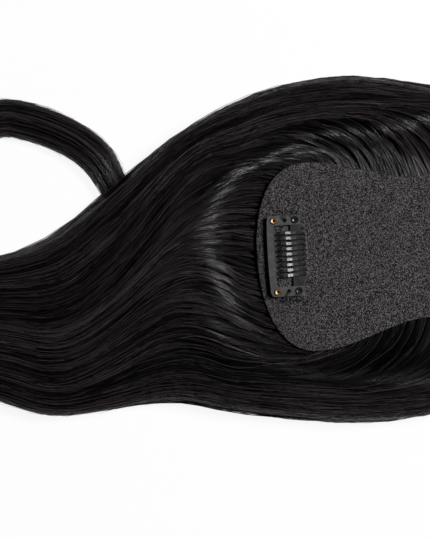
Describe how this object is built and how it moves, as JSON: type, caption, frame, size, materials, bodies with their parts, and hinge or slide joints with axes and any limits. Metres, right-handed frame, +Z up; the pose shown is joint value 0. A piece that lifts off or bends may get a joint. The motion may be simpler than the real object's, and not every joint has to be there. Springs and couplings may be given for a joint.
{
  "type": "hair topper",
  "caption": "Clip-in hair topper lying face down: a waisted cloth base with snap comb clips on a long swept fall of dark straight hair.",
  "frame": {"origin": "under the middle of the whole topper, on the surface that it lies on", "axes": "+X from the curled end of the hair towards the far end of the cloth base, +Z up, out of the side of the base that is worn on the head"},
  "size_m": [0.3012, 0.1322, 0.0193],
  "materials": {
    "hair": "satin near-black straight fibre",
    "base_cloth": "matt dark grey knit with a fine speckle",
    "clip_metal": "semi-gloss dark grey paint on spring steel",
    "brass": "polished",
    "black_rivet": "gloss black"
  },
  "bodies": {
    "root": {"hair": "hair", "base_cloth": "base_cloth", "clip_comb": "clip_metal", "clip_bar": "clip_metal", "brass_eyelet_upper": "brass", "brass_eyelet_lower": "brass", "black_rivet_upper": "black_rivet", "black_rivet_lower": "black_rivet", "far_clip": "clip_metal"}
  },
  "joints": []
}
